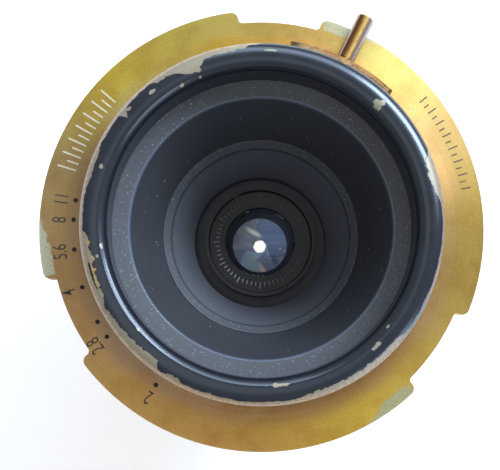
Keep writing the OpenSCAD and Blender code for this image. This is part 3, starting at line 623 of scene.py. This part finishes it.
def ring_bronze():
    """Aperture ring: brown tarnished bronze, rubbed golden in streaks, darker off its boss."""
    material, tree, shader = finish_named("ring_bronze", Metallic=1.0)
    rings = use(tree, lathe_marks, Per_millimetre=3.0, Waver=3.0)
    patina = use(tree, blotches, Size_mm=4.0, Seed=8.0)
    streaks = between(tree, rings["Marks"], 0.35, 0.65)
    brown = tint(tree, streaks, (0.14, 0.08, 0.05, 1), (0.66, 0.36, 0.14, 1))
    worn = tint(tree, between(tree, patina["Clouds"], 0.45, 0.65), brown, (0.62, 0.40, 0.18, 1))
    spots = spread(tree, between(tree, patina["Mottle"], 0.5, 0.64), 0.0, 0.55)
    marked = tint(tree, spots, worn, (0.14, 0.11, 0.11, 1))
    first = between(tree, rings["Turn"], (BOSS_FROM + 0.4) / 360, (BOSS_FROM + 1.6) / 360)
    last = between(tree, rings["Turn"], (BOSS_TO - 6.0) / 360, (BOSS_TO - 0.6) / 360)
    middle = calc(tree, "SUBTRACT", first, last, clamp=True)
    ended = tint(tree, spread(tree, middle, 0.75, 0.0), marked, (0.07, 0.045, 0.03, 1))
    relief = tint(tree, 0.5, rings["Marks"], patina["Mottle"])
    coat(tree, shader, ended, spread(tree, patina["Mottle"], 0.55, 0.34), relief, 0.03 * MM)
    return material


# The aperture pin's direction in degrees, and its tones across it from one side to the other: painted
# reflections on the round pin, pale at the sides, dark brown and golden stripes along it
PIN_TURN = 63.5
PIN_REFLECTION_TONES = (
    (0.02, (0.50, 0.40, 0.38)), (0.14, (0.46, 0.33, 0.29)), (0.20, (0.20, 0.09, 0.05)),
    (0.36, (0.32, 0.15, 0.05)), (0.46, (0.66, 0.34, 0.09)), (0.56, (0.97, 0.70, 0.26)),
    (0.64, (0.82, 0.48, 0.14)), (0.73, (0.42, 0.24, 0.12)), (0.80, (0.52, 0.43, 0.41)),
    (0.95, (0.46, 0.38, 0.38)),
)


def pin_copper():
    """Polished coppery brass with painted reflections in stripes along it, and brown tarnish spots."""
    material, tree, shader = finish_named("pin_copper", Metallic=1.0)
    patina = use(tree, blotches, Size_mm=1.5, Seed=3.0)
    place = add(tree, "TexCoord").outputs["Object"]
    turned = add(tree, "Mapping", Vector=place)
    turned.inputs["Rotation"].default_value = (0, 0, math.radians(-PIN_TURN))
    sideways = add(tree, "SeparateXYZ", Vector=turned.outputs[0]).outputs["Y"]
    share = add(tree, "MapRange", Value=sideways, From_Min=PIN_R, From_Max=-PIN_R)
    across = plus(tree, share.outputs["Result"], sway(tree, patina["Clouds"], 0.15))
    # Painted reflections in stripes along the pin
    tone = steps(tree, across, PIN_REFLECTION_TONES)
    spotted = tint(tree, between(tree, patina["Mottle"], 0.56, 0.66), tone, (0.20, 0.09, 0.05, 1))
    coat(tree, shader, spotted, spread(tree, patina["Mottle"], 0.24, 0.40), patina["Mottle"], FAINT)
    return material


def turned_metal(name, dark, light, rough, marks):
    """Turned metal of the hidden parts: two tones of one colour, lathe rings and a little grime."""
    material, tree, shader = finish_named(name, Metallic=1.0)
    rings = use(tree, lathe_marks, Per_millimetre=marks, Waver=0.8)
    grime = use(tree, blotches, Size_mm=4.0, Seed=4.0)
    tone = tint(tree, grime["Clouds"], dark, light)
    lined = tint(tree, times(tree, rings["Marks"], 0.3), tone, light)
    shine = spread(tree, grime["Mottle"], rough, rough + 0.2)
    coat(tree, shader, lined, shine, rings["Marks"], FAINT)
    return material


def blackened(name, dark, light, rough, marks):
    """Blackened or painted metal: two near-black tones, rings of the tool and some dust."""
    material, tree, shader = finish_named(name)
    rings = use(tree, lathe_marks, Per_millimetre=marks, Waver=0.8)
    grime = use(tree, blotches, Size_mm=5.0, Seed=6.0)
    tone = tint(tree, grime["Clouds"], dark, light)
    lined = tint(tree, times(tree, rings["Marks"], 0.3), tone, light)
    specks = use(tree, dust, Size_mm=0.09, Spacing_mm=2.6, Amount=0.2)
    dusty = tint(tree, times(tree, specks["Specks"], 0.4), lined, (0.4, 0.4, 0.4, 1))
    shine = spread(tree, grime["Mottle"], rough, rough + 0.18)
    coat(tree, shader, dusty, shine, rings["Marks"], FAINT)
    return material


# Oil colours of each blade, each blade lighter or darker as painted shade for how it faces the light: its
# main tone and that of its streaks
BLADE_TONES_AND_SHADE = (
    ((0.30, 0.38, 0.44), (0.40, 0.50, 0.46)), ((0.25, 0.27, 0.36), (0.30, 0.38, 0.40)),
    ((0.29, 0.33, 0.50), (0.34, 0.42, 0.52)), ((0.36, 0.50, 0.78), (0.36, 0.56, 0.68)),
    ((0.22, 0.32, 0.52), (0.26, 0.42, 0.48)), ((0.12, 0.21, 0.41), (0.15, 0.22, 0.35)),
)
# Stains and rubbed spots on the closed blades, and painted highlights: the white, warm and pale green
# streaks stand for light along blade edges. Place in millimetres, direction in degrees, half the length,
# half the width, colour
STAINS_AND_HIGHLIGHTS = (
    (-1.1, 2.6, -31, 2.3, 0.65, (1.00, 1.00, 0.96)), (0.7, -4.7, -61, 2.8, 0.7, (1.00, 0.74, 0.58)),
    (5.8, -1.3, -20, 1.9, 0.6, (0.62, 0.44, 0.38)), (3.8, -0.4, 0, 0.3, 0.25, (0.55, 0.62, 0.70)),
    (-5.8, 3.2, 0, 2.2, 1.0, (0.50, 0.68, 0.56)), (-5.0, 1.2, -20, 2.6, 1.1, (0.34, 0.25, 0.30)),
    (-1.4, -3.6, -82, 3.2, 1.0, (0.36, 0.58, 0.56)), (2.7, -2.5, -60, 1.7, 0.8, (0.07, 0.10, 0.20)),
)
# Direction in degrees of the grinding streaks on the fifth blade, and the turn from blade to blade
BLADE_TILT = -61
BLADE_STEP = 60
# How much longer than wide the streaks are
STREAK_LONG = 6.0
# Fineness of the grinding streaks and of the oil colours, and what each blade adds to the latter
GRAIN_SCALE = 2600.0
FILM_SCALE = 520.0
FILM_STEP = 30
# A height that no stain ends at, so that only its length and width count
STAIN_DEEP = 1000.0


def blade_steel(number):
    """Blued spring steel of one blade, ground lengthwise, with oil colours, painted shade that differs
    from blade to blade, stains, rubbed spots and painted highlights.
    """
    material, tree, shader = finish_named(f"blade_steel_{number}", Metallic=1.0)
    main, streak = BLADE_TONES_AND_SHADE[number - 1]
    place = add(tree, "TexCoord").outputs["Object"]
    turned = add(tree, "Mapping", {"vector_type": "TEXTURE"}, Vector=place)
    tilt = math.radians(BLADE_STEP * (number - 5) + BLADE_TILT)
    turned.inputs["Rotation"].default_value = (0, 0, tilt)
    turned.inputs["Scale"].default_value = (STREAK_LONG, 1.0, 1.0)
    grain = add(tree, "TexNoise", Vector=turned.outputs[0], Scale=GRAIN_SCALE, Detail=5.0, Roughness=0.7)
    film_scale = FILM_SCALE + FILM_STEP * number
    film = add(tree, "TexNoise", Vector=turned.outputs[0], Scale=film_scale, Detail=2.0)
    deep = tuple(0.7 * level for level in main)
    tone = steps(tree, film.outputs["Fac"],
                 [(0.32, main), (0.44, deep), (0.52, main), (0.60, streak), (0.72, main)])
    # Stains, and painted highlights along the blade edges
    for x, y, direction, long, wide, colour in STAINS_AND_HIGHLIGHTS:
        spot = add(tree, "Mapping", {"vector_type": "TEXTURE"}, Vector=place)
        spot.inputs["Location"].default_value = (x * MM, y * MM, 0)
        spot.inputs["Rotation"].default_value = (0, 0, math.radians(direction))
        spot.inputs["Scale"].default_value = (long * MM, wide * MM, STAIN_DEEP)
        soft = add(tree, "TexGradient", {"gradient_type": "SPHERICAL"}, Vector=spot.outputs[0])
        share = between(tree, soft.outputs["Fac"], 0.0, 0.8)
        tone = tint(tree, share, tone, (*colour, 1))
    ground = tint(tree, spread(tree, grain.outputs["Fac"], 0.0, 0.25), tone, (0.55, 0.62, 0.72, 1))
    rough = spread(tree, grain.outputs["Fac"], 0.30, 0.5)
    coat(tree, shader, ground, rough, grain.outputs["Fac"], FAINT)
    return material


def lens_glass(name, ior, colour, bloom):
    """Bloomed optical glass. Light from the lamps passes through it to what is inside."""
    material, tree, shader = finish_named(
        name, Base_Color=colour, Transmission_Weight=1.0, IOR=ior, Specular_Tint=bloom
    )
    haze = use(tree, blotches, Size_mm=2.5, Seed=9.0)
    feed(tree, shader.inputs["Roughness"], spread(tree, haze["Mottle"], 0.0, 0.03))
    clear = add(tree, "BsdfTransparent", Color=(0.9, 0.93, 0.95, 1))
    path = add(tree, "LightPath")
    mixed = add(tree, "MixShader", Fac=path.outputs["Is Shadow Ray"])
    feed(tree, mixed.inputs[1], shader.outputs[0])
    feed(tree, mixed.inputs[2], clear.outputs[0])
    feed(tree, tree.nodes["Material Output"].inputs["Surface"], mixed.outputs[0])
    return material


def ink(name, dark, light, rough):
    """Filling of an engraving: uneven, a little dirty."""
    material, tree, shader = finish_named(name)
    wear = use(tree, blotches, Size_mm=0.8, Seed=1.0)
    tone = tint(tree, wear["Clouds"], dark, light)
    shine = spread(tree, wear["Mottle"], rough, rough + 0.2)
    coat(tree, shader, tone, shine, wear["Mottle"], FAINT)
    return material


# How white the name ring's filling is, by the direction in degrees
RING_FILLING = (
    (0, 0.09), (60, 0.14), (120, 0.16), (190, 0.34), (225, 0.80), (255, 0.50), (300, 0.16), (360, 0.09),
)


def ring_filling():
    """White filling of the name ring: white on one side, near black round the rest, and dirty."""
    material, tree, shader = finish_named("ring_filling")
    rings = use(tree, lathe_marks)
    wear = use(tree, blotches, Size_mm=0.8, Seed=1.0)
    white = by_direction(tree, rings["Turn"], RING_FILLING)
    dirt = between(tree, wear["Clouds"], 0.3, 0.7)
    tone = tint(tree, dirt, white, (0.62, 0.64, 0.68, 1), "MULTIPLY")
    coat(tree, shader, tone, spread(tree, wear["Mottle"], 0.45, 0.65), wear["Mottle"], FAINT)
    return material


brass_finish = flange_brass()
enamel_finish = hood_enamel()
shade_finish = shade_black()
bronze_finish = ring_bronze()
copper_finish = pin_copper()
steel_finish = turned_metal("screw_steel", (0.28, 0.27, 0.26, 1), (0.55, 0.54, 0.52, 1), 0.25, 6.0)
aluminium_finish = turned_metal("sleeve_aluminium", (0.32, 0.32, 0.32, 1), (0.6, 0.6, 0.6, 1), 0.4, 3.0)
inner_brass_finish = turned_metal("inner_brass", (0.40, 0.27, 0.09, 1), (0.75, 0.55, 0.2, 1), 0.3, 4.0)
housing_finish = blackened("housing_black", (0.012, 0.012, 0.013, 1), (0.035, 0.035, 0.038, 1), 0.42, 2.0)
block_finish = blackened("block_black", (0.06, 0.065, 0.076, 1), (0.12, 0.13, 0.15, 1), 0.45, 3.0)
name_finish = blackened("name_black", (0.007, 0.008, 0.010, 1), (0.016, 0.018, 0.023, 1), 0.34, 3.0)
black_ink = ink("black_filling", (0.010, 0.009, 0.010, 1), (0.03, 0.026, 0.022, 1), 0.5)
faded_ink = ink("faded_filling", (0.05, 0.038, 0.032, 1), (0.16, 0.11, 0.075, 1), 0.5)
pale_ink = ink("pale_filling", (0.55, 0.50, 0.30, 1), (0.82, 0.80, 0.62, 1), 0.5)
ring_ink = ring_filling()

front_glass = lens_glass("front_glass", 1.86, (0.995, 0.995, 0.995, 1), (0.08, 0.10, 0.17, 1))
crown_glass = lens_glass("crown_glass", 1.76, (0.995, 0.995, 0.995, 1), (0.012, 0.014, 0.03, 1))
flint_glass = lens_glass("flint_glass", 1.60, (0.995, 0.995, 0.995, 1), (0.01, 0.01, 0.015, 1))

FINISHES = {
    "flange": brass_finish,
    "flange_screws": steel_finish,
    "housing": housing_finish,
    "rear_barrel": housing_finish,
    "hood": enamel_finish,
    "shade_front": shade_finish,
    "shade_rear": shade_finish,
    "aperture_ring": bronze_finish,
    "aperture_pin": copper_finish,
    "friction_washer": steel_finish,
    "key_screws": steel_finish,
    "drive_sleeve": aluminium_finish,
    "cam_drive_screws": steel_finish,
    "iris_cam": block_finish,
    "iris_base": inner_brass_finish,
    "lens_block": block_finish,
    "front_cell": block_finish,
    "name_ring": name_finish,
    "front_element": front_glass,
    "front_spacer": block_finish,
    "front_crown": crown_glass,
    "front_flint": flint_glass,
    "rear_flint": flint_glass,
    "rear_crown": crown_glass,
    "rear_spacer": block_finish,
    "rear_element": crown_glass,
    "rear_retaining_ring": block_finish,
    "lock_ring": block_finish,
}
for node_name, finish in FINISHES.items():
    dress(nodes[node_name], finish)
for blade in range(1, 7):
    dress(nodes[f"iris_blade_{blade}"], blade_steel(blade))

# ---------------------------------------------------------------- engravings


def lay(obj, degrees, radius, z):
    """Puts a piece made at the origin in its place, with its top away from the axis."""
    turn = math.radians(degrees)
    out = Vector((math.cos(turn), math.sin(turn), 0))
    upright = Matrix.Rotation(turn - math.pi / 2, 4, "Z")
    obj.matrix_world = Matrix.Translation(out * radius + Vector((0, 0, z))) @ upright
    settle(obj)


def numeral(label, degrees):
    """One aperture numeral, cut thin, with a faded black filling."""
    deselect()
    bpy.ops.object.text_add()
    letters = bpy.context.object
    letters.name = "numeral_" + label.replace(".", "_")
    letters.data.body = label
    letters.data.align_x = "CENTER"
    letters.data.align_y = "CENTER"
    letters.data.size = NUMERAL_H / CAP_SHARE
    letters.data.offset = NUMERAL_BOLD
    letters.data.extrude = INK_T
    letters.data.resolution_u = CURVE_STEPS
    letters.scale = (NUMERAL_NARROW, 1, 1)
    only(letters)
    bpy.ops.object.convert(target="MESH")
    letters = bpy.context.object
    bpy.ops.object.transform_apply(location=False, rotation=False, scale=True)
    lay(letters, degrees + NUMERAL_LEAD, NUMERAL_R, FACE_Z)
    dress(letters, faded_ink)
    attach(letters, "root")


def tick(width, height, thick):
    """One engraved stroke with rounded ends, standing along Y."""
    deselect()
    bpy.ops.mesh.primitive_cube_add(size=1)
    stroke = bpy.context.object
    stroke.scale = (width, height, thick)
    only(stroke)
    bpy.ops.object.transform_apply(location=False, rotation=False, scale=True)
    bpy.ops.object.modifier_add(type="BEVEL")
    stroke.modifiers[0].width = STROKE_ROUND * width
    stroke.modifiers[0].segments = 2
    stroke.modifiers[0].use_clamp_overlap = True
    bpy.ops.object.modifier_apply(modifier=stroke.modifiers[0].name)
    return stroke


def graduation(name, row, z, finish, long_each):
    """A row of plain strokes round the axis, every long_each-th one at full height."""
    first, last, count, radius, height, width = row
    strokes = []
    for number in range(count):
        tall = height if number % long_each == 0 else SHORT_STROKE * height
        stroke = tick(width, tall, 2 * INK_T)
        lay(stroke, first + (last - first) * number / (count - 1), radius - (height - tall) / 2, z)
        strokes.append(stroke)
    made = join(strokes, name)
    dress(made, finish)
    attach(made, "root")


def mark_filling():
    """The black wax in the drilled marks: a shallow dished plug in each."""
    plugs = []
    for degrees in [*STOP_MARKS.values(), PLAIN_MARK]:
        deselect()
        bpy.ops.mesh.primitive_cylinder_add(vertices=WAX_SIDES, radius=WAX_SHARE * MARK_D, depth=WAX_H)
        plug = bpy.context.object
        bpy.ops.object.mode_set(mode="EDIT")
        mesh = bmesh.from_edit_mesh(plug.data)
        for face in mesh.faces:
            face.select_set(face.normal.z > 0.9)
        bmesh.update_edit_mesh(plug.data)
        bpy.ops.mesh.inset(thickness=WAX_RIM)
        bpy.ops.transform.translate(value=(0, 0, -WAX_HOLLOW))
        bpy.ops.object.mode_set(mode="OBJECT")
        lay(plug, degrees, MARK_R, FACE_Z - WAX_H)
        plugs.append(plug)
    made = join(plugs, "mark_filling")
    dress(made, black_ink)
    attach(made, "root")


for label, degrees in STOP_MARKS.items():
    numeral(label, degrees)
mark_filling()
graduation("pale_graduation", PALE_ROW, FACE_Z, pale_ink, long_each=2)
graduation("dark_graduation", DARK_ROW, FACE_Z, faded_ink, long_each=2)
graduation("ring_graduation", RING_ROW, RING_FACE_Z, ring_ink, long_each=5)

# ---------------------------------------------------------------- floor, light and camera

# Side of the floor in metres
FLOOR_SIZE = 4.0
# How much of its own light the paper shows to the camera and in reflections
PAPER_GLOW = 0.55
# How bright the room is to everything but the camera, and its colour
ROOM_LIGHT = 0.34
ROOM_COLOUR = (0.97, 0.98, 1.0, 1)
# Lamps: name, place in metres, width and height in metres, power in watts, colour
LAMPS = (
    ("window", (0.63, 0.53, 0.60), (0.56, 0.34), 13.0, (0.74, 0.86, 1.0)),
    ("second_window", (0.12, 0.81, 0.60), (0.70, 0.40), 3.8, (0.72, 0.85, 1.0)),
    ("side", (0.62, -0.52, 0.45), (0.4, 0.4), 1.5, (0.70, 0.83, 1.0)),
    ("ceiling", (-0.25, -0.10, 1.4), (0.9, 0.9), 1.3, (0.96, 0.98, 1.0)),
)
# The camera's lens and sensor in millimetres, and the nearest and farthest that it sees in metres
CAMERA = {"sensor_width": 36.0, "lens": 76.32, "shift_y": 0.08, "clip_start": 0.01, "clip_end": 20.0}
# The camera's place in metres, and its tilt in degrees
CAMERA_PLACE = (-2.59 * MM, -28.49 * MM, 228.97 * MM)
CAMERA_TILT = (4.658, -0.036, 0)


def paper():
    """White paper. It keeps the object's shadow and shows white where nothing shades it."""
    material, tree, shader = finish_named("white_paper", Roughness=0.9)
    fibre = use(tree, blotches, Size_mm=30.0, Seed=7.0)
    tone = tint(tree, fibre["Clouds"], (0.80, 0.81, 0.82, 1), (0.83, 0.83, 0.83, 1))
    feed(tree, shader.inputs["Base Color"], tone)
    path = add(tree, "LightPath").outputs
    seen = calc(tree, "MAXIMUM", path["Is Camera Ray"], path["Is Glossy Ray"])
    level = calc(tree, "MAXIMUM", times(tree, seen, PAPER_GLOW), path["Is Transmission Ray"])
    glow = add(tree, "Emission", Color=(1, 1, 1, 1), Strength=level)
    both = add(tree, "AddShader")
    feed(tree, both.inputs[0], shader.outputs[0])
    feed(tree, both.inputs[1], glow.outputs[0])
    feed(tree, tree.nodes["Material Output"].inputs["Surface"], both.outputs[0])
    return material


deselect()
bpy.ops.mesh.primitive_plane_add(size=FLOOR_SIZE, location=(0, 0, FLOOR_Z))
floor = bpy.context.object
floor.name = "floor"
settle(floor)
dress(floor, paper())


def lamp(name, place, size, power, colour):
    """A soft lamp, size wide and high, that faces the object."""
    deselect()
    bpy.ops.object.light_add(type="AREA", location=place)
    made = bpy.context.object
    made.name = name
    made.data.shape = "RECTANGLE"
    made.data.size, made.data.size_y = size
    made.data.energy = power
    made.data.color = colour
    made.rotation_euler = Vector(place).to_track_quat("Z", "Y").to_euler()


for settings in LAMPS:
    lamp(*settings)

world = bpy.data.worlds.new("studio")
bpy.context.scene.world = world
world.use_nodes = True
sky = world.node_tree
backdrop = sky.nodes["Background"]
backdrop.inputs["Color"].default_value = ROOM_COLOUR
to_camera = add(sky, "LightPath").outputs["Is Camera Ray"]
feed(sky, backdrop.inputs["Strength"], calc(sky, "MAXIMUM", to_camera, ROOM_LIGHT))

camera_data = bpy.data.cameras.new("camera")
camera = bpy.data.objects.new("camera", camera_data)
bpy.context.scene.collection.objects.link(camera)
for key, value in CAMERA.items():
    setattr(camera_data, key, value)
camera.location = CAMERA_PLACE
camera.rotation_euler = [math.radians(degrees) for degrees in CAMERA_TILT]
bpy.context.scene.camera = camera
bpy.context.scene.view_settings.view_transform = "Standard"
